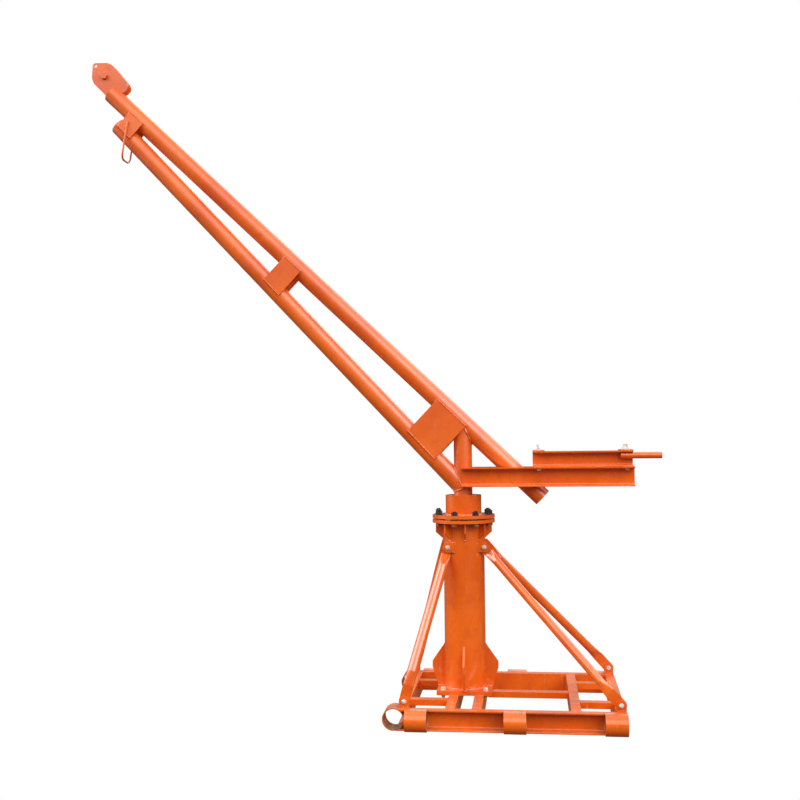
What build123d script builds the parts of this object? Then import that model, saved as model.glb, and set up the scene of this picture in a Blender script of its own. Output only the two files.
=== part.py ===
"""Mini crane: a channel frame on the floor, a braced mast, and a jib that slews in the mast head.

Millimetres. The origin is the mast's axis at floor level, +Z up, the winch end of the jib at +X,
the jib's head at -X, the front at -Y.
"""

from build123d import *
from math import sqrt
import os

os.makedirs("parts", exist_ok=True)

# Sections of steel: depth, flange width, web thickness, flange thickness, root radius.
FRAME_CHANNEL = (100, 48, 5.3, 8.5, 8)
TRAY_CHANNEL = (80, 43, 5, 8, 7)

# Base frame, to the tips of the channels' flanges.
FRAME_LEFT = -313
FRAME_RIGHT = 787
FRAME_HALF_DEPTH = 450
FRAME_H = FRAME_CHANNEL[0]
MAST_MEMBER_LEFT_X = -29
MAST_MEMBER_RIGHT_X = 100
TAIL_MEMBER_X = 527
TIE_W = 50
TIE_H = 30
TIE_WALL = 3
BAY_TIE_Y = 210
CENTRE_TIE_Y = -14
CENTRE_TIE_LEFT = 118

# Sleeves for carrying bars.
SLEEVE_R = 54
SLEEVE_WALL = 5
SLEEVE_L = 106
SLEEVE_MIDDLE_X = 260

# Mast.
FOOT_SIDE = 280
FRAME_PLATE_T = 10
BASEPLATE_T = 12
MAST_R = 106
MAST_WALL = 6
MAST_TOP = 967
GUSSET_T = 10
GUSSET_H = 218
GUSSET_FOOT = 36
GUSSET_REACH = 65
GUSSET_EDGE = (96, 126)
FLANGE_R = 162
FLANGE_T = 17
FLANGE_FACE_R = 118
FLANGE_FACE_T = 7
FIN_COUNT = 8
FIN_TURN = 6.5
FIN_T = 8
FIN_REACH = 40
FIN_H = 87
FIN_EDGE = 51
WELD_INSET = 4

# Bearing housing and post.
CHORD_R = 47.5
CHORD_WALL = 4
HOUSING_R = 93
HOUSING_WALL = 8
HOUSING_H = 101
BEARING_H = 28
BEARING_CLEARANCE = 0.05
BEARING_SETBACK = 5
POST_LIFT = 0.3

# Braces: flattened pipes between lugs on the mast and on the frame.
SHORT_BRACE_R = 26
LONG_BRACE_R = 21
BRACE_WALL = 3.5
FOOT_FLAT_W = 52
TOP_FLAT_W = 50
FLAT_T = 8
LUG_T = 8
MAST_BOLT_Z = 842
MAST_LUG_R = 25
FRAME_BOLT_LIFT = 36
FRAME_LUG_W = 48
FOOT_RUN = 80
TOP_RUN = 34
PRESS_RUN = 66
TOP_BEYOND = 28
MAST_GAP = 1.5
FRAME_LUG_Y = FRAME_HALF_DEPTH - 29
FRAME_BOLT_LEFT = FRAME_LEFT + 41
FRAME_BOLT_REAR_LEFT = FRAME_LEFT + 7
FRAME_BOLT_RIGHT = FRAME_RIGHT - 27

# Each brace: X of its top bolt, Y of its top flat's middle, X and Y of its foot bolt, its radius.
BRACES = {
    "brace_front_left": (-78, -87, FRAME_BOLT_LEFT, -FRAME_LUG_Y, SHORT_BRACE_R),
    "brace_front_right": (108, -65, FRAME_BOLT_RIGHT, -FRAME_LUG_Y, LONG_BRACE_R),
    "brace_rear_left": (-100, 65, FRAME_BOLT_REAR_LEFT, FRAME_LUG_Y, SHORT_BRACE_R),
    "brace_rear_right": (113, 65, FRAME_BOLT_RIGHT, FRAME_LUG_Y, LONG_BRACE_R),
}

# Jib chords: two points on each axis, X and Z.
UPPER_FOOT = (411, 1092)
UPPER_TIP = (-1915, 3323)
LOWER_TIP = (-1872, 3142)
LOWER_SLOPE = -1.068
PLATE_T = 6
CHORD_PLATES = {
    "chord_plates_lower": (542, 746),
    "chord_plates_middle": (1745, 1865),
    "chord_plates_tip": (2950, 3050),
}

# Rope guide loop under the tip.
LOOP_R = 5
LOOP_TOP = (-1802, 3150)
LOOP_LEAN = (-0.165, -0.986)
LOOP_REACH = 208
LOOP_BEND = 35

# Head: along the upper chord from its foot, and square to it.
CHEEK_Y = 19
AXLE_AT = (3312, 47)
AXLE_R = 12
AXLE_LOBE = 72
ANCHOR_AT = (3388, 53)
ANCHOR_R = 8
CHEEK_DISCS = [(AXLE_AT, AXLE_LOBE), (ANCHOR_AT, 17), ((3196, 70), 35), ((3208, -3), 25)]
SHEAVE_R = 48
SHEAVE_W = 28
SHEAVE_HUB_W = 36
SHEAVE_HUB_R = 26
SHEAVE_CLEARANCE = 0.05
HEX_AF = 36
HEX_H = 15

# Bench and tray for the winch.
BENCH_LEFT = -4
BENCH_RIGHT = 876
BENCH_BOTTOM = 1152
TRAY_LEFT = 362
TRAY_RIGHT = 868
END_PLATE_W = 62
STUD_X = (390, 836)
STUD_Y = 70
STUD_R = 6
STUD_H = 28
HANDLE_R = 16
HANDLE_WALL = 3
HANDLE_RIGHT = 1012

FRONT_BACK_Y = FRAME_HALF_DEPTH - FRAME_CHANNEL[1]
LEFT_BACK_X = FRAME_LEFT + FRAME_CHANNEL[1]
RIGHT_BACK_X = FRAME_RIGHT - FRAME_CHANNEL[1]
SLEEVE_Y = FRONT_BACK_Y + FRAME_CHANNEL[2] + SLEEVE_R
SLEEVE_X = LEFT_BACK_X - FRAME_CHANNEL[2] - SLEEVE_R
MAST_BOTTOM = FRAME_H + FRAME_PLATE_T + BASEPLATE_T
HOUSING_BOTTOM = MAST_TOP + 2 * FLANGE_T + FLANGE_FACE_T
HOUSING_TOP = HOUSING_BOTTOM + HOUSING_H
BENCH_TOP = BENCH_BOTTOM + FRAME_CHANNEL[0]
TRAY_TOP = BENCH_TOP + TRAY_CHANNEL[0]


def save(shapes, name):
    """Writes one node; a list becomes one node of several solids."""
    shape = Compound(shapes) if isinstance(shapes, list) else shapes
    export_step(shape, f"parts/{name}.step")


def block(x0, x1, y0, y1, z0, z1):
    """A box between two corners, given in either order."""
    size = (abs(x1 - x0), abs(y1 - y0), abs(z1 - z0))
    return Pos((x0 + x1) / 2, (y0 + y1) / 2, (z0 + z1) / 2) * Box(*size)


def rod(start, direction, length, radius):
    """A round bar from a point, along a direction."""
    bar = Cylinder(radius, length, align=(Align.CENTER, Align.CENTER, Align.MIN))
    return Plane(origin=start, z_dir=direction) * bar


def pipe(start, direction, length, radius, wall):
    return rod(start, direction, length, radius) - rod(start, direction, length, radius - wall)


def ring(z, height, outer, inner):
    return pipe((0, 0, z), (0, 0, 1), height, outer, outer - inner)


def channel(start, mouth, run, length, section):
    """A channel whose web's back passes through start, at mid depth, with its mouth to one side."""
    depth, flange, web, flange_t, root = section
    middle = (Align.MIN, Align.CENTER)
    profile = Rectangle(flange, depth, align=middle)
    profile -= Pos(web, 0) * Rectangle(flange, depth - 2 * flange_t, align=middle)
    roots = profile.vertices().filter_by_position(Axis.X, web - 0.1, web + 0.1)
    profile = fillet(roots, root)
    lips = [v for v in profile.vertices() if v.X > flange - 0.1 and abs(v.Y) < depth / 2 - 0.1]
    profile = fillet(lips, root / 2)
    return extrude(Plane(origin=start, x_dir=mouth, z_dir=run) * profile, amount=length)


def prism_xy(points, z0, z1):
    """An outline on the floor plan, raised from z0 to z1."""
    return Pos(0, 0, z0) * extrude(make_face(Polyline(*points, close=True)), amount=z1 - z0)


def plate_xz(face, y0, y1):
    """A face drawn with X and Z as its two axes, made as thick as y0 to y1."""
    low, high = min(y0, y1), max(y0, y1)
    upright = Plane(origin=(0, high, 0), x_dir=(1, 0, 0), z_dir=(0, -1, 0))
    return extrude(upright * face, amount=high - low)


# Sleeves lie in the mouths of the beams, against their webs, with their bottoms on the floor.


def sleeve_rows():
    """The start of each sleeve and its direction, by node."""
    along_x = [FRAME_LEFT + FRAME_CHANNEL[1], SLEEVE_MIDDLE_X - SLEEVE_L / 2, FRAME_RIGHT - SLEEVE_L]
    along_y = [-FRAME_HALF_DEPTH, FRAME_HALF_DEPTH - SLEEVE_L]
    return {
        "front_sleeves": [((x, -SLEEVE_Y, SLEEVE_R), (1, 0, 0)) for x in along_x],
        "rear_sleeves": [((x, SLEEVE_Y, SLEEVE_R), (1, 0, 0)) for x in along_x],
        "left_sleeves": [((SLEEVE_X, y, SLEEVE_R), (0, 1, 0)) for y in along_y],
    }


def make_sleeves():
    for name, sleeves in sleeve_rows().items():
        save([pipe(at, along, SLEEVE_L, SLEEVE_R, SLEEVE_WALL).solid() for at, along in sleeves], name)


def cope(beam):
    """Takes away what the sleeves stand in."""
    for sleeves in sleeve_rows().values():
        for at, along in sleeves:
            beam -= rod(at, along, SLEEVE_L, SLEEVE_R)
    return beam


def make_frame():
    """Four beams with mitred corners, their mouths outward."""
    outer = [(FRAME_LEFT, -FRAME_HALF_DEPTH), (FRAME_RIGHT, -FRAME_HALF_DEPTH),
             (FRAME_RIGHT, FRAME_HALF_DEPTH), (FRAME_LEFT, FRAME_HALF_DEPTH)]
    inner = [(LEFT_BACK_X, -FRONT_BACK_Y), (RIGHT_BACK_X, -FRONT_BACK_Y),
             (RIGHT_BACK_X, FRONT_BACK_Y), (LEFT_BACK_X, FRONT_BACK_Y)]
    mid = FRAME_H / 2
    width = FRAME_RIGHT - FRAME_LEFT
    beams = {
        "front_beam": ((FRAME_LEFT, -FRONT_BACK_Y, mid), (0, -1, 0), (1, 0, 0), width),
        "right_beam": ((RIGHT_BACK_X, -FRAME_HALF_DEPTH, mid), (1, 0, 0), (0, 1, 0), 2 * FRAME_HALF_DEPTH),
        "rear_beam": ((FRAME_LEFT, FRONT_BACK_Y, mid), (0, 1, 0), (1, 0, 0), width),
        "left_beam": ((LEFT_BACK_X, -FRAME_HALF_DEPTH, mid), (-1, 0, 0), (0, 1, 0), 2 * FRAME_HALF_DEPTH),
    }
    for side, (name, (start, mouth, run, length)) in enumerate(beams.items()):
        after = (side + 1) % 4
        mitre = prism_xy([outer[side], outer[after], inner[after], inner[side]], 0, FRAME_H)
        save(cope(channel(start, mouth, run, length, FRAME_CHANNEL) & mitre), name)
    cross = {
        "mast_cross_member_left": (MAST_MEMBER_LEFT_X, -1),
        "mast_cross_member_right": (MAST_MEMBER_RIGHT_X, -1),
        "tail_cross_member": (TAIL_MEMBER_X, 1),
    }
    for name, (x, mouth) in cross.items():
        start = (x, -FRONT_BACK_Y, mid)
        save(channel(start, (mouth, 0, 0), (0, 1, 0), 2 * FRONT_BACK_Y, FRAME_CHANNEL), name)


def tie(x0, x1, y):
    """A flat-laid box section with its top flush with the frame's."""
    z0, z1 = FRAME_H - TIE_H, FRAME_H
    half = TIE_W / 2
    inside = block(x0 - 1, x1 + 1, y - half + TIE_WALL, y + half - TIE_WALL, z0 + TIE_WALL, z1 - TIE_WALL)
    return (block(x0, x1, y - half, y + half, z0, z1) - inside).solid()


def make_ties():
    left_end = MAST_MEMBER_LEFT_X - FRAME_CHANNEL[1]
    right_start = TAIL_MEMBER_X + FRAME_CHANNEL[1]
    save([tie(LEFT_BACK_X, left_end, y) for y in (-BAY_TIE_Y, BAY_TIE_Y)], "left_bay_ties")
    save([tie(right_start, RIGHT_BACK_X, y) for y in (-BAY_TIE_Y, BAY_TIE_Y)], "right_bay_ties")
    save(tie(CENTRE_TIE_LEFT, TAIL_MEMBER_X, CENTRE_TIE_Y), "centre_tie")


def make_mast():
    """The foot plates, the pipe, and the flange at its head with the fins under it."""
    half = FOOT_SIDE / 2
    plate_top = FRAME_H + FRAME_PLATE_T
    save(block(-half, half, -half, half, FRAME_H, plate_top), "frame_plate")
    save(block(-half, half, -half, half, plate_top, MAST_BOTTOM), "mast_baseplate")
    save(ring(MAST_BOTTOM, MAST_TOP - MAST_BOTTOM, MAST_R, MAST_R - MAST_WALL), "mast_tube")
    flange = ring(MAST_TOP, FLANGE_T, FLANGE_R, MAST_R - MAST_WALL)
    flange += ring(MAST_TOP + FLANGE_T, FLANGE_FACE_T, FLANGE_FACE_R, MAST_R - MAST_WALL)
    save(flange, "mast_flange")
    body = rod((0, 0, 0), (0, 0, 1), MAST_TOP, MAST_R)
    inset = MAST_R - WELD_INSET
    foot = MAST_R + GUSSET_FOOT
    lobe = MAST_R + GUSSET_REACH
    outline = Polyline((inset, MAST_BOTTOM), (foot, MAST_BOTTOM), (lobe, MAST_BOTTOM + GUSSET_EDGE[0]),
                       (lobe, MAST_BOTTOM + GUSSET_EDGE[1]), (MAST_R, MAST_BOTTOM + GUSSET_H),
                       (inset, MAST_BOTTOM + GUSSET_H), close=True)
    gusset = plate_xz(make_face(outline), -GUSSET_T / 2, GUSSET_T / 2)
    save([(Rot(0, 0, 90 * n) * gusset - body).solid() for n in range(4)], "foot_gussets")
    reach = MAST_R + FIN_REACH
    outline = Polyline((inset, MAST_TOP), (reach, MAST_TOP), (reach, MAST_TOP - FIN_EDGE),
                       (MAST_R, MAST_TOP - FIN_H), (inset, MAST_TOP - FIN_H), close=True)
    fin = plate_xz(make_face(outline), -FIN_T / 2, FIN_T / 2)
    turns = [FIN_TURN + 360 / FIN_COUNT * n for n in range(FIN_COUNT)]
    save([(Rot(0, 0, turn) * fin - body).solid() for turn in turns], "flange_fins")


def make_housing():
    """The disc on the mast flange, the housing on it and the two bearing rings inside."""
    save(rod((0, 0, HOUSING_BOTTOM - FLANGE_T), (0, 0, 1), FLANGE_T, FLANGE_R), "housing_flange")
    bore = HOUSING_R - HOUSING_WALL
    save(ring(HOUSING_BOTTOM, HOUSING_H, HOUSING_R, bore), "bearing_housing")
    inner = CHORD_R + BEARING_CLEARANCE
    top = HOUSING_TOP - BEARING_SETBACK - BEARING_H
    save([ring(z, BEARING_H, bore, inner).solid() for z in (HOUSING_BOTTOM, top)], "slew_bearings")


def section_face(plane, half_w, half_t, flatness):
    """A closed outline of four edges: flat sides with round ends, or a circle when flatness is 0."""
    if flatness:
        x = half_w - half_t
        corners = [(x, half_t), (-x, half_t), (-x, -half_t), (x, -half_t)]
        edges = [Line(corners[0], corners[1]), ThreePointArc(corners[1], (-half_w, 0), corners[2]),
                 Line(corners[2], corners[3]), ThreePointArc(corners[3], (half_w, 0), corners[0])]
    else:
        d = half_w / sqrt(2)
        corners = [(d, d), (-d, d), (-d, -d), (d, -d)]
        middles = [(0, half_w), (-half_w, 0), (0, -half_w), (half_w, 0)]
        edges = [ThreePointArc(corners[n], middles[n], corners[(n + 1) % 4]) for n in range(4)]
    return plane * make_face(Wire(edges).edges())


def flat_end(bolt, along, beyond, corner, run, width):
    """The pressed end of a brace: a plate in an XZ plane, rounded beyond its bolt."""
    face = Pos((run - beyond) / 2, 0) * Rectangle(run + beyond, width)
    ends = [v for v in face.vertices() if v.X < 0]
    face = fillet(ends, corner)
    half = FLAT_T / 2
    plane = Plane(origin=bolt + Vector(0, half, 0), x_dir=along, z_dir=(0, -1, 0))
    return extrude(plane * face, amount=FLAT_T)


def brace(top_x, top_y, foot_x, foot_y, radius):
    """A pipe between two bolts, pressed flat at both ends and set a little to lie on its lugs."""
    foot = Vector(foot_x, foot_y, FRAME_H + FRAME_BOLT_LIFT)
    top = Vector(top_x, top_y, MAST_BOLT_Z)
    along = Vector(top.X - foot.X, 0, top.Z - foot.Z).normalized()
    foot_end = foot + along * FOOT_RUN
    top_end = top - along * TOP_RUN
    axis = (top_end - foot_end).normalized()
    side = axis.cross(Vector(0, 1, 0)).normalized()
    round_foot = foot_end + axis * PRESS_RUN
    round_top = top_end - axis * PRESS_RUN
    shape = flat_end(foot, along, FOOT_FLAT_W / 2, FOOT_FLAT_W / 2 - 0.5, FOOT_RUN, FOOT_FLAT_W)
    shape += flat_end(top, along * -1, TOP_BEYOND, TOP_FLAT_W / 4, TOP_RUN, TOP_FLAT_W)
    length = (round_top - round_foot).length
    shape += rod(round_foot, axis, length, radius)
    inner = radius - BRACE_WALL
    hollow = rod(round_foot, axis, length, inner)
    for flat, around, width in ((foot_end, round_foot, FOOT_FLAT_W), (top_end, round_top, TOP_FLAT_W)):
        pressed = Plane(origin=flat, x_dir=along.cross(Vector(0, 1, 0)), z_dir=along)
        round_plane = Plane(origin=around, x_dir=side, z_dir=axis)
        half = width / 2
        skin = [section_face(pressed, half, FLAT_T / 2, 1), section_face(round_plane, radius, radius, 0)]
        shape += loft(skin)
        core = [section_face(pressed, half - BRACE_WALL, 0.5, 1), section_face(round_plane, inner, inner, 0)]
        hollow += loft(core)
    room = rod((0, 0, MAST_BOTTOM), (0, 0, 1), MAST_TOP - MAST_BOTTOM, MAST_R + MAST_GAP)
    return (shape - hollow) - room


def make_braces():
    body = rod((0, 0, 0), (0, 0, 1), MAST_TOP, MAST_R)
    mast_lugs = []
    frame_lugs = []
    for name, (top_x, top_y, foot_x, foot_y, radius) in BRACES.items():
        save(brace(top_x, top_y, foot_x, foot_y, radius), name)
        out = 1 if top_y > 0 else -1
        near = top_y + out * FLAT_T / 2
        inward = top_x / 3
        blank = Pos(top_x, MAST_BOLT_Z) * Circle(MAST_LUG_R)
        blank += Pos((top_x + inward) / 2, MAST_BOLT_Z) * Rectangle(abs(top_x - inward), 2 * MAST_LUG_R)
        mast_lugs.append((plate_xz(blank, near, near + out * LUG_T) - body).solid())
        half = FRAME_LUG_W / 2
        bolt_z = FRAME_H + FRAME_BOLT_LIFT
        blank = Pos(foot_x, bolt_z) * Circle(half)
        blank += Pos(foot_x, (FRAME_H + bolt_z) / 2) * Rectangle(FRAME_LUG_W, bolt_z - FRAME_H)
        for face in (foot_y - FLAT_T / 2 - LUG_T, foot_y + FLAT_T / 2):
            frame_lugs.append(cope(plate_xz(blank, face, face + LUG_T)).solid())
    save(mast_lugs, "mast_brace_lugs")
    save(frame_lugs, "frame_brace_lugs")


def line_of(foot, tip):
    """A chord's start, unit direction and length in the XZ plane."""
    start = Vector(foot[0], 0, foot[1])
    run = Vector(tip[0], 0, tip[1]) - start
    return start, run.normalized(), run.length


UPPER_START, UPPER_U, UPPER_L = line_of(UPPER_FOOT, UPPER_TIP)
LOWER_FOOT = (CHORD_R, LOWER_TIP[1] + (CHORD_R - LOWER_TIP[0]) * LOWER_SLOPE)
LOWER_START, LOWER_U, LOWER_L = line_of(LOWER_FOOT, LOWER_TIP)
UPPER_N = Vector(UPPER_U.Z, 0, -UPPER_U.X)


def chord_point(s, h):
    """A point at a station along the upper chord, h above its axis, as X and Z."""
    at = UPPER_START + UPPER_U * s + UPPER_N * h
    return at.X, at.Z


def lower_drop(s):
    """How far below the upper chord's axis the lower chord's axis lies at a station."""
    dx = LOWER_START - UPPER_START
    along, across = dx.dot(UPPER_U), dx.dot(UPPER_N)
    grade = LOWER_U.dot(UPPER_N) / LOWER_U.dot(UPPER_U)
    return across + (s - along) * grade


def cheek_face():
    """The head plate: a lobe round the axle, an eye for the anchor and a tail into the chord."""
    rims = []
    for (s, h), radius in CHEEK_DISCS:
        x, z = chord_point(s, h)
        rims += (Pos(x, z) * Circle(radius)).edges()
    face = make_face(make_hull(rims).edges())
    for (s, h), radius in ((AXLE_AT, AXLE_R), (ANCHOR_AT, ANCHOR_R)):
        x, z = chord_point(s, h)
        face -= Pos(x, z) * Circle(radius)
    return face


def make_jib():
    """The post and the two chords, the plates that join them, and the rope guide."""
    post_foot = (0, 0, HOUSING_BOTTOM + POST_LIFT)
    upper_solid = rod(UPPER_START, UPPER_U, UPPER_L, CHORD_R)
    top_z = UPPER_START.Z + (0 - UPPER_START.X) * UPPER_U.Z / UPPER_U.X
    post_solid = rod(post_foot, (0, 0, 1), top_z - post_foot[2], CHORD_R)
    post = post_solid - rod(post_foot, (0, 0, 1), top_z, CHORD_R - CHORD_WALL) - upper_solid
    save(post.solids().sort_by(Axis.Z)[0], "post")
    upper = pipe(UPPER_START, UPPER_U, UPPER_L, CHORD_R, CHORD_WALL)
    for side in (1, -1):
        upper -= plate_xz(cheek_face(), side * CHEEK_Y, side * (CHEEK_Y + PLATE_T))
    save(upper.solids().sort_by(SortBy.VOLUME)[-1], "upper_chord")
    lower = pipe(LOWER_START, LOWER_U, LOWER_L, CHORD_R, CHORD_WALL) - post_solid
    save(lower.solids().sort_by(Axis.X)[0], "lower_chord")
    for name, (s0, s1) in CHORD_PLATES.items():
        corners = [(s0, 0), (s1, 0), (s1, lower_drop(s1)), (s0, lower_drop(s0))]
        face = make_face(Polyline(*[chord_point(s, h) for s, h in corners], close=True))
        plates = [plate_xz(face, side * CHORD_R, side * (CHORD_R + PLATE_T)) for side in (-1, 1)]
        save([plate.solid() for plate in plates], name)
    half = CHORD_R + PLATE_T + LOOP_R
    hang = Vector(LOOP_LEAN[0], 0, LOOP_LEAN[1]).normalized()
    origin = (LOOP_TOP[0], 0, LOOP_TOP[1])
    loop_plane = Plane(origin=origin, x_dir=(0, 1, 0), z_dir=Vector(0, 1, 0).cross(hang))
    path = Polyline((-half, 0), (-half, LOOP_REACH), (half, LOOP_REACH), (half, 0))
    bends = [v for v in path.vertices() if v.Y > 1]
    path = loop_plane * fillet(bends, LOOP_BEND)
    start = path.edges().sort_by_distance(loop_plane.from_local_coords((-half, 0, 0)))[0] @ 0
    bar = Plane(origin=loop_plane.from_local_coords((-half, 0, 0)), z_dir=hang) * Circle(LOOP_R)
    save(sweep(bar, path=path), "rope_guide_loop")


def make_head():
    """Cheeks, axle and sheave at the tip."""
    save(plate_xz(cheek_face(), -CHEEK_Y, -CHEEK_Y - PLATE_T), "head_cheek_near")
    save(plate_xz(cheek_face(), CHEEK_Y, CHEEK_Y + PLATE_T), "head_cheek_far")
    x, z = chord_point(*AXLE_AT)
    outside = CHEEK_Y + PLATE_T
    axle = rod((x, -outside - HEX_H, z), (0, 1, 0), 2 * (outside + HEX_H) + 6, AXLE_R)
    for y in (-outside - HEX_H, outside):
        hexagon = RegularPolygon(HEX_AF / 2, 6, major_radius=False)
        axle += plate_xz(Pos(x, z) * hexagon, y, y + HEX_H)
    save(axle, "head_axle")
    half = SHEAVE_W / 2
    rim = [(SHEAVE_HUB_R, -half), (SHEAVE_R, -half), (SHEAVE_R, -half + 5), (SHEAVE_R - 16, -4),
           (SHEAVE_R - 16, 4), (SHEAVE_R, half - 5), (SHEAVE_R, half), (SHEAVE_HUB_R, half)]
    hub = SHEAVE_HUB_W / 2
    bore = AXLE_R + SHEAVE_CLEARANCE
    outline = [(bore, -hub), (SHEAVE_HUB_R, -hub)] + rim + [(SHEAVE_HUB_R, hub), (bore, hub)]
    turned = revolve(Plane.XZ * make_face(Polyline(*outline, close=True)), axis=Axis.Z)
    save(Pos(x, 0, z) * Rot(90, 0, 0) * turned, "head_sheave")


def make_bench():
    """The winch bench: channels on both sides of post and chord, a tray on them, and handles."""
    for name, side in (("bench_channel_near", -1), ("bench_channel_far", 1)):
        start = (BENCH_LEFT, side * CHORD_R, (BENCH_BOTTOM + BENCH_TOP) / 2)
        save(channel(start, (0, side, 0), (1, 0, 0), BENCH_RIGHT - BENCH_LEFT, FRAME_CHANNEL), name)
    for name, side in (("tray_channel_near", -1), ("tray_channel_far", 1)):
        start = (TRAY_LEFT, side * CHORD_R, (BENCH_TOP + TRAY_TOP) / 2)
        save(channel(start, (0, side, 0), (1, 0, 0), TRAY_RIGHT - TRAY_LEFT, TRAY_CHANNEL), name)
    edge = CHORD_R + TRAY_CHANNEL[1]
    starts = (TRAY_LEFT, TRAY_RIGHT - END_PLATE_W)
    plates = [block(x, x + END_PLATE_W, -edge, edge, TRAY_TOP, TRAY_TOP + PLATE_T) for x in starts]
    save([plate.solid() for plate in plates], "tray_end_plates")
    places = [(x, y, TRAY_TOP + PLATE_T) for x in STUD_X for y in (-STUD_Y, STUD_Y)]
    studs = [rod(place, (0, 0, 1), STUD_H, STUD_R) for place in places]
    save([stud.solid() for stud in studs], "winch_studs")
    y = CHORD_R + TRAY_CHANNEL[2] + HANDLE_R
    z = TRAY_TOP - TRAY_CHANNEL[3] - HANDLE_R
    left = TRAY_RIGHT - END_PLATE_W
    grips = [pipe((left, side * y, z), (1, 0, 0), HANDLE_RIGHT - left, HANDLE_R, HANDLE_WALL) for side in (-1, 1)]
    save([grip.solid() for grip in grips], "handles")


make_sleeves()
make_frame()
make_ties()
make_mast()
make_housing()
make_braces()
make_jib()
make_head()
make_bench()
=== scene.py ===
import bpy
import bmesh
from math import cos, pi, radians, sin, sqrt
from mathutils import Matrix, Vector


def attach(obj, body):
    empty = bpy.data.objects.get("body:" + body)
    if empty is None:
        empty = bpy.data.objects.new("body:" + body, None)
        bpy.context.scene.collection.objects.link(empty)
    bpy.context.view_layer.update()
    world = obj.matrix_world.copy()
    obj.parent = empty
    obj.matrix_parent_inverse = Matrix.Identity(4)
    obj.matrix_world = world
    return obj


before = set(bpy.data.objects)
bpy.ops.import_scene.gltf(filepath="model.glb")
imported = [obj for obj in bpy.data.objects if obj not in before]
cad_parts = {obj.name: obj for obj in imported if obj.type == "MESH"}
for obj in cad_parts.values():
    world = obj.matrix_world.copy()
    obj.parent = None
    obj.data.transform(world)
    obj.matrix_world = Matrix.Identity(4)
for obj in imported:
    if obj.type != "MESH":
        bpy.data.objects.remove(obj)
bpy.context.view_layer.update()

# Enamel. One brushed coat of orange over everything: uneven in tone, with a fine orange peel,
# pale streaks that are rubbed wear and, where strongest, a painted sheen, and chipped to dark steel in a few
# small spots.


def group_of(name, inputs, outputs):
    """A shader node group with its sockets made; returns the group, its input and output nodes."""
    group = bpy.data.node_groups.new(name, "ShaderNodeTree")
    for label, kind, value in inputs:
        socket = group.interface.new_socket(label, in_out="INPUT", socket_type=kind)
        if value is not None:
            socket.default_value = value
    for label, kind in outputs:
        group.interface.new_socket(label, in_out="OUTPUT", socket_type=kind)
    return group, group.nodes.new("NodeGroupInput"), group.nodes.new("NodeGroupOutput")


def add(tree, kind, links=(), **values):
    """A node with its constants set and its inputs linked, each given by its own name or number."""
    node = tree.nodes.new(kind)
    for key, value in values.items():
        setattr(node, key, value)
    for key, source in links:
        if isinstance(source, (int, float, tuple)):
            node.inputs[key].default_value = source
        else:
            tree.links.new(source, node.inputs[key])
    return node


def noise(tree, where, scale, detail, rough=0.55):
    node = add(tree, "ShaderNodeTexNoise", [("Vector", where), ("Scale", scale), ("Detail", detail),
                                            ("Roughness", rough)])
    return node.outputs["Fac"]


def band(tree, value, low, high, bottom=0.0, top=1.0):
    """Value carried smoothly from one range to another, and held at its ends."""
    sockets = [("Value", value), ("From Min", low), ("From Max", high), ("To Min", bottom), ("To Max", top)]
    node = add(tree, "ShaderNodeMapRange", sockets, interpolation_type="SMOOTHSTEP")
    return node.outputs["Result"]


def maths(tree, operation, a, b=0.0):
    return add(tree, "ShaderNodeMath", [(0, a), (1, b)], operation=operation).outputs[0]


def mixed(tree, amount, a, b):
    node = add(tree, "ShaderNodeMix", [(0, amount), (6, a), (7, b)], data_type="RGBA")
    return node.outputs[2]


def stretched(tree, where, scale):
    return add(tree, "ShaderNodeVectorMath", [(0, where), (1, scale)], operation="MULTIPLY").outputs[0]


enamel, given, out = group_of("enamel", [
    ("Place", "NodeSocketVector", None), ("Up", "NodeSocketFloat", 0.0), ("Dust", "NodeSocketFloat", 0.3),
    ("Rub_and_sheen", "NodeSocketFloat", 0.3)], [
    ("Colour", "NodeSocketColor"), ("Roughness", "NodeSocketFloat"), ("Height", "NodeSocketFloat")])
place = given.outputs["Place"]
tone = band(enamel, noise(enamel, place, 3.1, 3.0), 0.35, 0.68)
orange = mixed(enamel, tone, (0.86, 0.150, 0.007, 1), (0.72, 0.100, 0.004, 1))
blotch = band(enamel, noise(enamel, place, 17.0, 4.0, 0.65), 0.52, 0.74)
orange = mixed(enamel, maths(enamel, "MULTIPLY", blotch, 0.45), orange, (0.56, 0.080, 0.006, 1))
streak = noise(enamel, stretched(enamel, place, (42.0, 42.0, 7.0)), 1.0, 5.0, 0.7)
rubbed_and_sheen = maths(enamel, "MULTIPLY", band(enamel, streak, 0.60, 0.70), given.outputs["Rub_and_sheen"])
# Pale salmon streaks: rubbed wear, and where their amount is high, as on the head, a painted sheen.
orange = mixed(enamel, rubbed_and_sheen, orange, (0.86, 0.33, 0.17, 1))
chips = maths(enamel, "MULTIPLY", band(enamel, noise(enamel, place, 95.0, 2.0), 0.745, 0.765),
              band(enamel, noise(enamel, place, 6.0, 1.0), 0.52, 0.62))
orange = mixed(enamel, chips, orange, (0.045, 0.028, 0.020, 1))
facing = band(enamel, given.outputs["Up"], 0.55, 0.98)
cloud = band(enamel, noise(enamel, place, 11.0, 6.0, 0.72), 0.36, 0.66)
dust = maths(enamel, "MULTIPLY", maths(enamel, "MULTIPLY", facing, cloud), given.outputs["Dust"])
orange = mixed(enamel, dust, orange, (0.30, 0.130, 0.065, 1))
dulled = maths(enamel, "ADD", maths(enamel, "MULTIPLY", dust, 0.45), maths(enamel, "MULTIPLY", rubbed_and_sheen, 0.25))
gloss = maths(enamel, "ADD", band(enamel, noise(enamel, place, 9.0, 3.0), 0.3, 0.7, 0.20, 0.34), dulled)
peel = maths(enamel, "ADD", maths(enamel, "MULTIPLY", noise(enamel, place, 60.0, 3.0), 0.7),
             maths(enamel, "MULTIPLY", noise(enamel, place, 420.0, 2.0), 0.03))
peel = maths(enamel, "SUBTRACT", peel, maths(enamel, "MULTIPLY", chips, 0.35))
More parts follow.
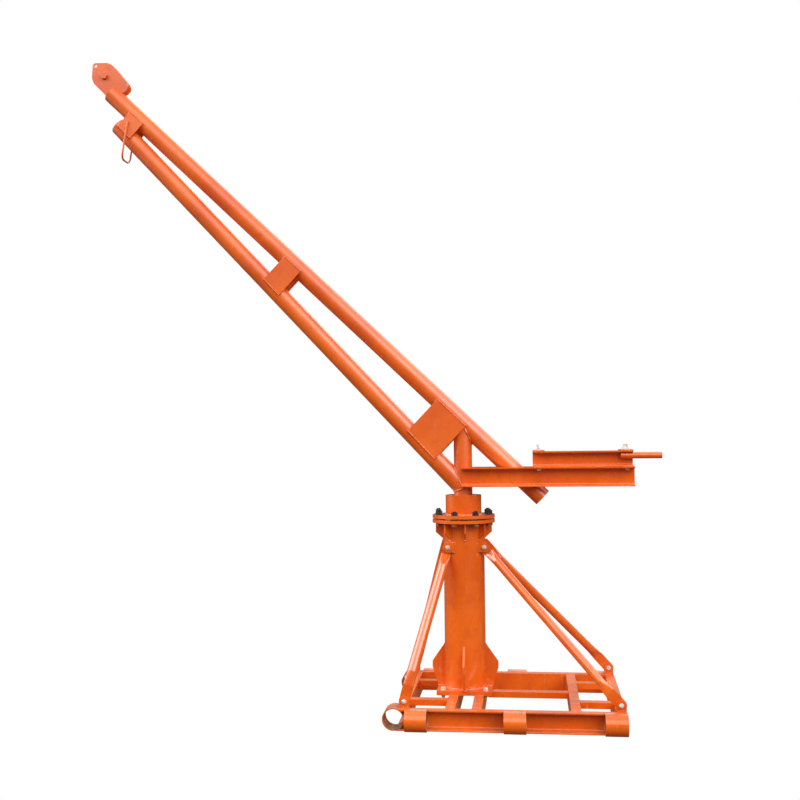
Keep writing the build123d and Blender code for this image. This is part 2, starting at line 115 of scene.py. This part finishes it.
enamel.links.new(orange, out.inputs["Colour"])
enamel.links.new(gloss, out.inputs["Roughness"])
enamel.links.new(peel, out.inputs["Height"])


def paint(name, dust, rub_and_sheen, coat_weight=0.9, edge=0.0012, dirty=None, coat_rough=0.08):
    """A painted steel; dirty is a function that adds marks of the piece's own to the colour."""
    made = bpy.data.materials.new(name)
    made.use_nodes = True
    tree = made.node_tree
    shader = tree.nodes["Principled BSDF"]
    place = add(tree, "ShaderNodeTexCoord").outputs["Object"]
    normal = add(tree, "ShaderNodeNewGeometry").outputs["Normal"]
    up = add(tree, "ShaderNodeSeparateXYZ", [(0, normal)]).outputs[2]
    coat = add(tree, "ShaderNodeGroup", node_tree=enamel)
    for key, value in (("Place", place), ("Up", up)):
        tree.links.new(value, coat.inputs[key])
    coat.inputs["Dust"].default_value = dust
    # The streak amount gives rubbed wear, and where high, as on the head, a painted sheen.
    coat.inputs["Rub_and_sheen"].default_value = rub_and_sheen
    colour, rough = coat.outputs["Colour"], coat.outputs["Roughness"]
    if dirty:
        colour, rough = dirty(tree, place, up, colour, rough)
    soft = add(tree, "ShaderNodeBevel", [("Radius", edge)], samples=4)
    bump = add(tree, "ShaderNodeBump", [("Height", coat.outputs["Height"]), ("Strength", 0.06),
                                        ("Distance", 0.0008), ("Normal", soft.outputs[0])])
    tree.links.new(colour, shader.inputs["Base Color"])
    tree.links.new(rough, shader.inputs["Roughness"])
    tree.links.new(bump.outputs[0], shader.inputs["Normal"])
    shader.inputs["Coat Weight"].default_value = coat_weight
    shader.inputs["Coat Roughness"].default_value = coat_rough
    shader.inputs["Coat IOR"].default_value = 1.7
    return made


def dress(material, *nodes):
    for node in nodes:
        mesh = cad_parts[node].data
        mesh.materials.clear()
        mesh.materials.append(material)


def new_piece(name, bm, material, body, smooth=None):
    """A mesh in the row frame that rides on a body; edges sharper than smooth degrees stay sharp."""
    bmesh.ops.recalc_face_normals(bm, faces=bm.faces)
    mesh = bpy.data.meshes.new(name)
    bm.to_mesh(mesh)
    bm.free()
    piece = bpy.data.objects.new(name, mesh)
    bpy.context.scene.collection.objects.link(piece)
    mesh.materials.append(material)
    if smooth:
        mesh.shade_smooth()
        mesh.set_sharp_from_angle(angle=radians(smooth))
    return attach(piece, body)


# Base frame. Channel beams on the floor, dusty on every face that looks up.
# The right beam, the cross members, the ties and the plates under the mast carry the most dust.
frame_paint = paint("frame_paint", 0.62, 0.40, 0.5)
inner_paint = paint("cross_member_paint", 0.80, 0.45, 0.4)
dress(frame_paint, "front_beam", "rear_beam", "left_beam", "frame_brace_lugs")
dress(inner_paint, "right_beam", "mast_cross_member_left", "mast_cross_member_right", "tail_cross_member",
      "left_bay_ties", "centre_tie", "right_bay_ties", "frame_plate", "mast_baseplate")


# Sleeves. The same paint, scuffed brown on their tops, and bare rusty steel inside, where
# carrying bars have slid.
def sleeve_marks(across, axis):
    """Marks of a sleeve whose axis lies at a distance along X or Y, numbered 0 or 1, from the middle."""
    axis_z, bore = 0.054, 0.0515

    def marks(tree, place, up, colour, rough):
        parts = add(tree, "ShaderNodeSeparateXYZ", [(0, place)])
        off = maths(tree, "SUBTRACT", maths(tree, "ABSOLUTE", parts.outputs[across]), axis)
        rise = maths(tree, "SUBTRACT", parts.outputs[2], axis_z)
        squares = [maths(tree, "MULTIPLY", leg, leg) for leg in (off, rise)]
        inside = maths(tree, "LESS_THAN", maths(tree, "SQRT", maths(tree, "ADD", *squares)), bore)
        rust = mixed(tree, noise(tree, place, 35.0, 5.0), (0.26, 0.095, 0.034, 1), (0.46, 0.22, 0.11, 1))
        patches = band(tree, noise(tree, place, 30.0, 5.0, 0.7), 0.46, 0.60)
        worn = maths(tree, "MULTIPLY", band(tree, up, 0.5, 0.95), patches)
        colour = mixed(tree, maths(tree, "MULTIPLY", worn, 0.75), colour, (0.28, 0.14, 0.085, 1))
        rougher = maths(tree, "MAXIMUM", rough, maths(tree, "MULTIPLY", inside, 0.8))
        return mixed(tree, inside, colour, rust), rougher
    return marks


marks_along_x, marks_along_y = sleeve_marks(1, 0.4613), sleeve_marks(0, 0.3243)
dress(paint("sleeve_paint_along_x", 0.8, 0.5, 0.5, dirty=marks_along_x), "front_sleeves", "rear_sleeves")
dress(paint("sleeve_paint_along_y", 0.8, 0.5, 0.5, dirty=marks_along_y), "left_sleeves")

# Mast and braces. Cleaner than the frame, under a strong clear coat,
# with a little dust on the gussets, the lugs and the flanges.
mast_paint = paint("mast_paint", 0.30, 0.25)
dress(mast_paint, "mast_tube", "foot_gussets", "mast_flange", "flange_fins", "mast_brace_lugs",
      "housing_flange", "brace_front_left", "brace_front_right", "brace_rear_left", "brace_rear_right")


# Bearing housing. Turned bare and bright on its top rim, where the jib's post enters;
# the plain rings that stand for its bearings are greased steel.
def rim_marks(tree, place, up, colour, rough):
    """Bare turned steel on every face that looks straight up."""
    bare = maths(tree, "GREATER_THAN", up, 0.9)
    steel = mixed(tree, noise(tree, place, 60.0, 4.0), (0.80, 0.66, 0.55, 1), (0.62, 0.45, 0.33, 1))
    return mixed(tree, bare, colour, steel), rough


dress(paint("housing_paint", 0.0, 0.25, dirty=rim_marks), "bearing_housing")


def steel(name, light, dark, rough, bumpy, scale, metal=0.9):
    """An unpainted metal, mottled between two tones."""
    made = bpy.data.materials.new(name)
    made.use_nodes = True
    tree = made.node_tree
    shader = tree.nodes["Principled BSDF"]
    place = add(tree, "ShaderNodeTexCoord").outputs["Object"]
    mottle = noise(tree, place, scale, 5.0, 0.6)
    tree.links.new(mixed(tree, band(tree, mottle, 0.38, 0.64), light, dark), shader.inputs["Base Color"])
    fine = noise(tree, place, scale * 2.3, 3.0)
    tree.links.new(band(tree, fine, 0.3, 0.7, rough, rough + 0.22), shader.inputs["Roughness"])
    bump = add(tree, "ShaderNodeBump", [("Height", mottle), ("Strength", bumpy), ("Distance", 0.0008)])
    tree.links.new(bump.outputs[0], shader.inputs["Normal"])
    shader.inputs["Metallic"].default_value = metal
    return made


zinc = steel("zinc_steel", (0.90, 0.89, 0.86, 1), (0.62, 0.58, 0.52, 1), 0.25, 0.15, 180.0, 0.45)
blackened = steel("blackened_steel", (0.06, 0.055, 0.058, 1), (0.02, 0.016, 0.016, 1), 0.30, 0.25, 150.0, 0.6)
daubed = steel("daubed_steel", (0.42, 0.17, 0.06, 1), (0.10, 0.07, 0.045, 1), 0.40, 0.2, 110.0, 0.2)
dress(steel("bearing_steel", (0.50, 0.47, 0.43, 1), (0.16, 0.12, 0.09, 1), 0.30, 0.2, 90.0), "slew_bearings")

# Weld beads. Rippled runs of weld where one piece meets another,
# painted over with the pieces that they join.


def bead(bm, points, radius, closed=False):
    """A run of weld along points: hexagons about 2 mm apart, which swell and shrink in ripples."""
    path = [Vector(p) for p in points]
    if closed:
        path.append(path[0])
    fine, travelled = [], 0.0
    for a, b in zip(path, path[1:]):
        steps = max(1, round((b - a).length / 0.0021))
        fine += [(a.lerp(b, n / steps), b - a, travelled + (b - a).length * n / steps) for n in range(steps)]
        travelled += (b - a).length
    fine.append((path[-1], path[-1] - path[-2], travelled))
    rings = []
    for at, run, far in fine:
        side = run.cross(Vector((0.31, 0.52, 0.80))).normalized()
        other = run.cross(side).normalized()
        swell = radius * (0.80 + 0.20 * abs(sin(far * 760)) + 0.13 * sin(far * 91 + at.x * 60)
                          + 0.10 * sin(far * 233 + at.z * 80))
        rings.append([bm.verts.new(at + (side * cos(n * pi / 3) + other * sin(n * pi / 3)) * swell)
                      for n in range(6)])
    for one, two in zip(rings, rings[1:]):
        for n in range(6):
            bm.faces.new((one[n], one[(n + 1) % 6], two[(n + 1) % 6], two[n]))
    bm.faces.new(rings[0][::-1])
    bm.faces.new(rings[-1])


def round_z(radius, z, steps=40):
    """A full circle of points round the mast's axis."""
    turns = [radians(360.0 * n / steps) for n in range(steps + 1)]
    return [(radius * cos(t), radius * sin(t), z) for t in turns]


# Welds of the frame: mitres at the corners, cross members and ties between beams, and the two
# lines where each sleeve lies in its beam.
bm = bmesh.new()
left, right, half_y, inner_y = -0.313, 0.787, 0.450, 0.402
beam_top, tie_top, tie_y, seam_z, lug_z = 0.100, 0.099, 0.210, 0.1005, 0.101
sleeve_r, sleeve_y, left_sleeve_x = 0.054, 0.4613, -0.3243
for side in (-1, 1):
    for x0, y0, x1, y1 in ((left + 0.052, inner_y + 0.004, left + 0.030, half_y - 0.030),
                           (right - 0.048, inner_y, right - 0.002, half_y - 0.002)):
        bead(bm, [(x0, side * y0, beam_top), (x1, side * y1, beam_top)], 0.0032)
    for low, high in ((-0.077, -0.029), (0.052, 0.100), (0.527, 0.575)):
        bead(bm, [(low, side * inner_y, beam_top), (high, side * inner_y, beam_top)], 0.0036)
    for x in (-0.029, 0.100, 0.527):
        y = side * (inner_y - 0.001)
        bead(bm, [(x, y, 0.012), (x, y, 0.098)], 0.0040)
    for x in (-0.265, -0.077, 0.575, 0.739):
        bead(bm, [(x, side * tie_y - 0.026, tie_top), (x, side * tie_y + 0.026, tie_top)], 0.0034)
        for edge in (-0.025, 0.025):
            bead(bm, [(x, side * tie_y + edge, 0.072), (x, side * tie_y + edge, tie_top)], 0.0030)
bead(bm, [(0.527, -0.041, tie_top), (0.527, 0.013, tie_top)], 0.0034)
seam = sqrt(sleeve_r ** 2 - 0.046 ** 2)
for side in (-1, 1):
    for x in (-0.265, 0.207, 0.681):
        y = side * (sleeve_y - seam)
        bead(bm, [(x + 0.003, y, seam_z), (x + 0.103, y, seam_z)], 0.0036)
        for end in (0, 0.106):
            bead(bm, [(x + end, side * (sleeve_y - sleeve_r * cos(radians(t))),
                       sleeve_r + sleeve_r * sin(radians(t))) for t in (44, 30, 12, -6, -24, -42)], 0.0028)
    x = left_sleeve_x + seam
    low = -0.447 if side < 0 else 0.347
    bead(bm, [(x, low, seam_z), (x, low + 0.100, seam_z)], 0.0036)
for x, y in ((-0.272, -0.421), (-0.306, 0.421), (0.760, -0.421), (0.760, 0.421)):
    for face in (-0.012, 0.012):
        bead(bm, [(x - 0.024, y + face, lug_z), (x + 0.024, y + face, lug_z)], 0.0034)
    for end in (-0.024, 0.024):
        bead(bm, [(x + end, y - 0.012, lug_z), (x + end, y - 0.004, lug_z)], 0.0028)
new_piece("frame_welds", bm, frame_paint, "base", 60)

# Welds of the mast: round its foot and head, down both sides of every gusset and fin, round
# the brace lugs, and where the plate under the mast lies on the cross members.
mast_r, root_r, foot_z, head_z = 0.106, 0.1064, 0.1225, 0.9662
bm = bmesh.new()
bead(bm, round_z(0.1075, foot_z), 0.0050)
bead(bm, round_z(0.1068, 0.9665), 0.0042)
bead(bm, round_z(0.0938, 1.0085), 0.0042)
foot, head = Vector((0, 0, foot_z)), Vector((0, 0, head_z))
for turn in range(4):
    t = radians(90 * turn)
    out_x, out_y = Vector((cos(t), sin(t), 0)), Vector((-sin(t), cos(t), 0))
    for side in (-0.0056, 0.0056):
        root = out_x * root_r + out_y * side
        bead(bm, [root + Vector((0, 0, 0.124)), root + Vector((0, 0, 0.338))], 0.0042)
        bead(bm, [root + foot, out_x * 0.141 + out_y * side + foot], 0.0042)
    bead(bm, [out_x * 0.142 - out_y * 0.006 + foot, out_x * 0.142 + out_y * 0.006 + foot], 0.0034)
for turn in range(8):
    t = radians(6.5 + 45 * turn)
    out_x, out_y = Vector((cos(t), sin(t), 0)), Vector((-sin(t), cos(t), 0))
    for side in (-0.0046, 0.0046):
        root = out_x * root_r + out_y * side
        bead(bm, [root + Vector((0, 0, 0.879)), root + Vector((0, 0, 0.964))], 0.0032)
        bead(bm, [root + head, out_x * 0.145 + out_y * side + head], 0.0030)
    bead(bm, [out_x * 0.1075 + out_y * side + Vector((0, 0, 0.878)) for side in (-0.005, 0.005)], 0.0040)
for way, near, far in ((-1, -0.091, -0.099), (1, -0.069, -0.077), (-1, 0.069, 0.077), (1, 0.069, 0.077)):
    feet = [sqrt(mast_r ** 2 - y ** 2) * way for y in (near, far)]
    for x, y in zip(feet, (near, far)):
        bead(bm, [(x, y, 0.8185), (x, y, 0.8655)], 0.0038)
    for z in (0.816, 0.868):
        bead(bm, [(feet[0], near, z), (feet[1], far, z)], 0.0046)
for x in (-0.053, 0.076):
    for side in (-1, 1):
        bead(bm, [(x - 0.023, side * 0.1405, lug_z), (x + 0.023, side * 0.1405, lug_z)], 0.0036)
new_piece("mast_welds", bm, mast_paint, "base", 60)

# Flange bolts. Eight black nuts in a ring clamp the housing to the mast, a little askew, with
# thread to spare; the heads below have caught some paint.
ring = bpy.data.node_groups.new("bolt_ring", "GeometryNodeTree")
ring.interface.new_socket("Geometry", in_out="INPUT", socket_type="NodeSocketGeometry")
settings = {}
for label, value in (("Radius", 0.140), ("Across flats", 0.030), ("Top", 1.008), ("Underside", 0.967)):
    socket = ring.interface.new_socket(label, in_out="INPUT", socket_type="NodeSocketFloat")
    settings[socket.identifier] = value
ring.interface.new_socket("Geometry", in_out="OUTPUT", socket_type="NodeSocketGeometry")
asked = ring.nodes.new("NodeGroupInput")
result = ring.nodes.new("NodeGroupOutput")
circle = add(ring, "GeometryNodeMeshCircle", [("Vertices", 8), ("Radius", asked.outputs["Radius"])])
turned = add(ring, "GeometryNodeTransform", [("Geometry", circle.outputs["Mesh"]),
                                             ("Rotation", (0.0, 0.0, radians(29.0)))])
flat_to_corner = 1.7320508
corner = maths(ring, "DIVIDE", asked.outputs["Across flats"], flat_to_corner)
position = add(ring, "GeometryNodeInputPosition").outputs[0]
outward = add(ring, "ShaderNodeSeparateXYZ", [(0, position)]).outputs[0]
taller = maths(ring, "ADD", 0.80, maths(ring, "MULTIPLY", maths(ring, "ABSOLUTE", outward), 3.6))


def bolt_row(parts, level, way, height, lean, material):
    """Cylinders stacked along Z, copied to the ring's points at a level and set askew by up to lean."""
    joined = ring.nodes.new("GeometryNodeJoinGeometry")
    for sides, wide, start, depth in parts:
        radius = maths(ring, "MULTIPLY", corner, wide)
        round_part = add(ring, "GeometryNodeMeshCylinder", [("Vertices", sides), ("Radius", radius),
                                                            ("Depth", depth)])
        lifted = add(ring, "GeometryNodeTransform", [("Geometry", round_part.outputs["Mesh"]),
                                                     ("Translation", (0.0, 0.0, way * (start + depth / 2)))])
        ring.links.new(lifted.outputs[0], joined.inputs[0])
    spin = add(ring, "FunctionNodeRandomValue", [(0, (-lean, -lean, 0.0)), (1, (lean, lean, 6.28)),
                                                 ("Seed", 4)], data_type="FLOAT_VECTOR")
    size_of = add(ring, "ShaderNodeCombineXYZ", [(0, 1.0), (1, 1.0), (2, height)]).outputs[0]
    copies = add(ring, "GeometryNodeInstanceOnPoints", [
        ("Points", turned.outputs[0]), ("Instance", joined.outputs[0]),
        ("Rotation", spin.outputs[0]), ("Scale", size_of)])
    at = add(ring, "ShaderNodeCombineXYZ", [(2, level)]).outputs[0]
    moved = add(ring, "GeometryNodeTransform", [("Geometry", copies.outputs[0]), ("Translation", at)])
    real = add(ring, "GeometryNodeRealizeInstances", [(0, moved.outputs[0])])
    coated = add(ring, "GeometryNodeSetMaterial", [("Geometry", real.outputs[0])])
    coated.inputs["Material"].default_value = material
    return coated.outputs[0]


rows = ring.nodes.new("GeometryNodeJoinGeometry")
nuts = [(24, 1.06, 0.0, 0.003), (6, 1.0, 0.003, 0.0145), (16, 0.55, 0.0175, 0.005)]
heads = [(24, 1.06, 0.0, 0.003), (6, 1.0, 0.003, 0.0115)]
ring.links.new(bolt_row(nuts, asked.outputs["Top"], 1, taller, 0.05, blackened), rows.inputs[0])
ring.links.new(bolt_row(heads, asked.outputs["Underside"], -1, 1.0, 0.0, daubed), rows.inputs[0])
ring.links.new(rows.outputs[0], result.inputs[0])
seed = bpy.data.objects.new("bolt_ring_seed", bpy.data.meshes.new("bolt_ring_seed"))
bpy.context.scene.collection.objects.link(seed)
wrap = seed.modifiers.new("bolt_ring", "NODES")
wrap.node_group = ring
for identifier, value in settings.items():
    wrap[identifier] = value
made = bpy.data.meshes.new_from_object(seed.evaluated_get(bpy.context.evaluated_depsgraph_get()))
bpy.data.objects.remove(seed)
bolts = bpy.data.objects.new("flange_bolts", made)
bpy.context.scene.collection.objects.link(bolts)
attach(bolts, "base")

# Bolts of the mast's foot and of the braces. Zinc plated, with chamfered heads and
# a little thread past each nut.


def fastener(bm, at, axis, across, height, washer=0.0, turn=0.0, wide=1.28):
    """A hex head or nut with chamfered corners, standing on a washer along an axis from a point."""
    lift = Matrix.Translation(Vector(at)) @ Vector(axis).to_track_quat("Z", "X").to_matrix().to_4x4()
    flat = across / 2

    def loop(sides, radius, z):
        turns = [turn + 2 * pi * n / sides for n in range(sides)]
        return [bm.verts.new(lift @ Vector((radius * cos(t), radius * sin(t), z))) for t in turns]

    def stack(loops):
        for one, two in zip(loops, loops[1:]):
            for n in range(len(one)):
                bm.faces.new((one[n], one[(n + 1) % len(one)], two[(n + 1) % len(one)], two[n]))
        bm.faces.new(loops[0][::-1])
        bm.faces.new(loops[-1])

    if washer:
        stack([loop(24, flat * wide, 0), loop(24, flat * wide, washer)])
    corner = flat * 1.1547
    chamfer_z, top = washer + height * 0.82, washer + height
    stack([loop(6, corner, washer), loop(6, corner, chamfer_z), loop(6, corner * 0.86, top)])


def shank(bm, at, axis, radius, length):
    """A threaded bar: rings of crest and root along an axis."""
    lift = Matrix.Translation(Vector(at)) @ Vector(axis).to_track_quat("Z", "X").to_matrix().to_4x4()
    rings = []
    pitch = radius * 0.29
    count = int(length / pitch) * 2
    for k in range(count + 1):
        wide = radius * (1.0 if k % 2 else 0.88)
        rings.append([bm.verts.new(lift @ Vector((wide * cos(2 * pi * n / 16), wide * sin(2 * pi * n / 16),
                                                  length * k / count))) for n in range(16)])
    for one, two in zip(rings, rings[1:]):
        for n in range(16):
            bm.faces.new((one[n], one[(n + 1) % 16], two[(n + 1) % 16], two[n]))
    bm.faces.new(rings[0][::-1])
    bm.faces.new(rings[-1])


bm = bmesh.new()
for number, (x, y) in enumerate(((-0.108, -0.106), (0.108, -0.106), (-0.108, 0.106), (0.108, 0.106))):
    fastener(bm, (x, y, 0.122), (0, 0, 1), 0.0215, 0.011, 0.0025, 0.4 * number)
    fastener(bm, (x, y, 0.100), (0, 0, -1), 0.0215, 0.012, 0.0, 0.3 * number)
    shank(bm, (x, y, 0.0885), (0, 0, -1), 0.008, 0.009)
for number, (x, y, z, near, far) in enumerate((
        (-0.078, -1, 0.842, 0.099, 0.083), (0.108, -1, 0.842, 0.077, 0.061), (-0.100, 1, 0.842, 0.077, 0.061),
        (0.113, 1, 0.842, 0.077, 0.061), (-0.272, -1, 0.136, 0.433, 0.409), (0.760, -1, 0.136, 0.433, 0.409),
        (-0.306, 1, 0.136, 0.433, 0.409), (0.760, 1, 0.136, 0.433, 0.409))):
    fastener(bm, (x, y * near, z), (0, y, 0), 0.019, 0.009, 0.002, 0.5 * number)
    shank(bm, (x, y * (near + 0.011), z), (0, y, 0), 0.0060, 0.006)
    if far > 0.2:
        fastener(bm, (x, y * far, z), (0, -y, 0), 0.019, 0.009, 0.002, 0.7 * number)
new_piece("mast_and_brace_bolts", bm, zinc, "base", 35)

# Jib. Cleaner paint with a softer sheen along its pipes, a glossier one on the head with more pale
# streaks, partly rubbed wear and partly a painted sheen, and a dustier one on the bench.
jib_paint = paint("jib_paint", 0.10, 0.12, 0.62, coat_rough=0.40)
dress(jib_paint, "post", "upper_chord", "lower_chord", "chord_plates_lower", "chord_plates_middle",
      "chord_plates_tip", "rope_guide_loop")
# The head's strong pale streaks are partly a painted sheen, which lightens the cheeks.
head_paint_and_sheen = paint("head_paint_and_sheen", 0.10, 0.55, 1.0, coat_rough=0.30)
dress(head_paint_and_sheen, "head_cheek_near", "head_cheek_far", "head_axle")
bench_paint = paint("bench_paint", 0.30, 0.22, 0.7)
dress(bench_paint, "bench_channel_near", "bench_channel_far", "tray_channel_near", "tray_channel_far",
      "tray_end_plates", "handles")

# Welds of the jib. Where equal pipes meet, the seams are arcs round the post; the joining
# plates are welded along both chords, and the loop's legs and the cheeks at their roots.
foot, tip = Vector((0.411, 0, 1.092)), Vector((-1.915, 0, 3.323))
slope, lower_z = -1.068, 1.143
u = (tip - foot).normalized()
n = Vector((u.z, 0, -u.x))
low_u = Vector((-1, 0, -slope)).normalized()
r = 0.0475
bm = bmesh.new()
rise = u.z / u.x
top_axis = foot.z - foot.x * rise
stretch = sqrt(1 + rise * rise)
bead(bm, [(r * cos(t), r * sin(t), top_axis + rise * r * cos(t) - r * abs(cos(t)) * stretch)
          for t in [2 * pi * k / 56 for k in range(56)]], 0.0072, closed=True)
stretch = sqrt(1 + slope * slope)
turns = [-pi / 2 + pi * k / 28 for k in range(29)]
for sign in (-1, 1):
    bead(bm, [(-r * cos(t), r * sin(t), lower_z - slope * r * cos(t) + sign * r * cos(t) * stretch)
              for t in turns], 0.0050)


def lower_axis(s):
    """How far below the upper axis the lower one lies, square to the upper, at a station."""
    start = Vector((0, 0, lower_z)) - foot
    return start.dot(n) + (s - start.dot(u)) * low_u.dot(n) / low_u.dot(u)


for s0, s1 in ((0.542, 0.746), (1.745, 1.865), (2.950, 3.050)):
    for y in (-0.0535, 0.0535):
        edge = Vector((0, y * 0.97, 0))
        bead(bm, [foot + u * s0 + edge, foot + u * s1 + edge], 0.0040)
        low0, low1 = [foot + u * s + n * lower_axis(s) for s in (s0, s1)]
        bead(bm, [low0 + edge, low1 + edge], 0.0040)
        for s in (s0, s1):
            inset = Vector((0, y * 0.925, 0))
            bead(bm, [foot + u * s + inset, foot + u * s - n * 0.018 + inset], 0.0030)
            drop = lower_axis(s)
            bead(bm, [foot + u * s + n * drop + inset, foot + u * s + n * (drop + 0.018) + inset], 0.0030)
for y in (-0.0495, 0.0495):
    bead(bm, [(-0.002, y, 1.155), (-0.002, y, 1.250)], 0.0036)
for y in (-0.0255, -0.0185, 0.0185, 0.0255):
    lift = sqrt(r * r - y * y)
    aside = Vector((0, y, 0))
    bead(bm, [foot + u * 3.180 + n * lift + aside, foot + u * 3.220 + n * lift + aside], 0.0030)
for y in (-0.0535, 0.0535):
    leg = Vector((-1.802, y, 3.150))
    bead(bm, [leg, leg + Vector((-0.165, 0, -0.986)) * 0.030], 0.0030)
new_piece("jib_welds", bm, jib_paint, "jib", 60)

# Welds of the bench. Short runs hold the tray on the bench channels along both edges, and
# the end plates and the handles on the tray's flanges.
bm = bmesh.new()
for side in (-1, 1):
    for x0 in (0.366, 0.520, 0.680, 0.820):
        bead(bm, [(x0, side * 0.0895, 1.2525), (x0 + 0.040, side * 0.0895, 1.2525)], 0.0036)
    for x0, x1 in ((0.362, 0.424), (0.806, 0.868)):
        bead(bm, [(x0, side * 0.0905, 1.3325), (x1, side * 0.0905, 1.3325)], 0.0026)
    bead(bm, [(0.808, side * 0.0535, 1.318), (0.866, side * 0.0535, 1.318)], 0.0026)
new_piece("bench_welds", bm, bench_paint, "jib", 60)

# Winch studs. Zinc plated bars on the end plates, each with a nut and a wide washer, and the
# small bolts under the bench below them.
dress(zinc, "winch_studs")
bm = bmesh.new()
for number, (x, y) in enumerate(((0.390, -0.070), (0.390, 0.070), (0.836, -0.070), (0.836, 0.070))):
    fastener(bm, (x, y, 1.338), (0, 0, 1), 0.0190, 0.0100, 0.0025, 0.6 * number, 1.9)
    fastener(bm, (x + 0.003, y, 1.2435), (0, 0, -1), 0.0190, 0.0080, 0.002, 0.4 * number)
new_piece("winch_stud_nuts", bm, zinc, "jib", 35)

# Head sheave. A wheel of dark mottled steel between the cheeks,
# which the photograph hides.
sheave_steel = steel("sheave_steel", (0.16, 0.12, 0.09, 1), (0.045, 0.030, 0.022, 1), 0.35, 0.3, 120.0, 0.7)
dress(sheave_steel, "head_sheave")

# Studio. White all round for the camera. A large panel lights the front from the right, softer
# ones light the top and the left, and below the horizon it is dark and warm.
scene = bpy.context.scene
world = bpy.data.worlds.new("studio")
scene.world = world
world.use_nodes = True
sky = world.node_tree
sky.nodes.clear()
ray = add(sky, "ShaderNodeLightPath")
parts = add(sky, "ShaderNodeSeparateXYZ", [(0, add(sky, "ShaderNodeTexCoord").outputs["Generated"])])
up = parts.outputs[2]
horizon = mixed(sky, band(sky, up, -0.3, 0.3), (0.10, 0.052, 0.028, 1), (0.06, 0.05, 0.045, 1))
cloud = maths(sky, "MULTIPLY", band(sky, up, 0.22, 0.46), band(sky, up, 0.78, 0.92, 1.0, 0.2))
overhead = mixed(sky, cloud, horizon, (1.0, 1.0, 1.0, 1))
ambient = add(sky, "ShaderNodeBackground", [("Color", overhead), ("Strength", 1.9)])
white = add(sky, "ShaderNodeBackground", [("Color", (1.0, 1.0, 1.0, 1)), ("Strength", 1.0)])
seen = add(sky, "ShaderNodeMixShader", [(0, ray.outputs["Is Camera Ray"]), (1, ambient.outputs[0]),
                                        (2, white.outputs[0])])
add(sky, "ShaderNodeOutputWorld", [(0, seen.outputs[0])])


def panel(name, at, aim, width, height, power):
    """A soft box that points at a place."""
    data = bpy.data.lights.new(name, "AREA")
    data.shape, data.size, data.size_y, data.energy = "RECTANGLE", width, height, power
    light = bpy.data.objects.new(name, data)
    light.location = at
    light.rotation_euler = (Vector(aim) - Vector(at)).to_track_quat("-Z", "Y").to_euler()
    scene.collection.objects.link(light)


panel("key_panel", (9.5, -10.5, 8.5), (-0.2, 0.0, 1.2), 12.0, 12.0, 1350)
panel("top_panel", (-10.0, -3.5, 11.5), (-0.4, 0.0, 1.2), 9.0, 9.0, 850)
panel("left_panel", (-13.0, -1.0, 4.5), (0.0, 0.0, 1.2), 8.0, 8.0, 450)

# Camera. Placed as the photograph was taken, from a little right of the mast and at chest
# height. Its place, turn and focal length were solved from the photograph.
lens = bpy.data.cameras.new("camera")
focal_pixels, picture_side = 1070.0, 800
lens.sensor_width = 36.0
lens.lens = focal_pixels / picture_side * lens.sensor_width
lens.clip_start = 0.05
camera = bpy.data.objects.new("camera", lens)
yaw, pitch, roll = radians(6.93), radians(2.16), radians(-0.588)
ahead = Vector((-sin(yaw) * cos(pitch), cos(yaw) * cos(pitch), sin(pitch)))
level = Vector((cos(yaw), sin(yaw), 0))
above = level.cross(ahead)
across = level * cos(roll) + above * sin(roll)
upright = above * cos(roll) - level * sin(roll)
turn = Matrix((across, upright, -ahead)).transposed()
camera.matrix_world = Matrix.Translation((0.353, -5.609, 1.396)) @ turn.to_4x4()
scene.collection.objects.link(camera)
scene.camera = camera
scene.render.resolution_x = scene.render.resolution_y = picture_side
scene.render.engine = "CYCLES"
scene.view_settings.view_transform = "Standard"
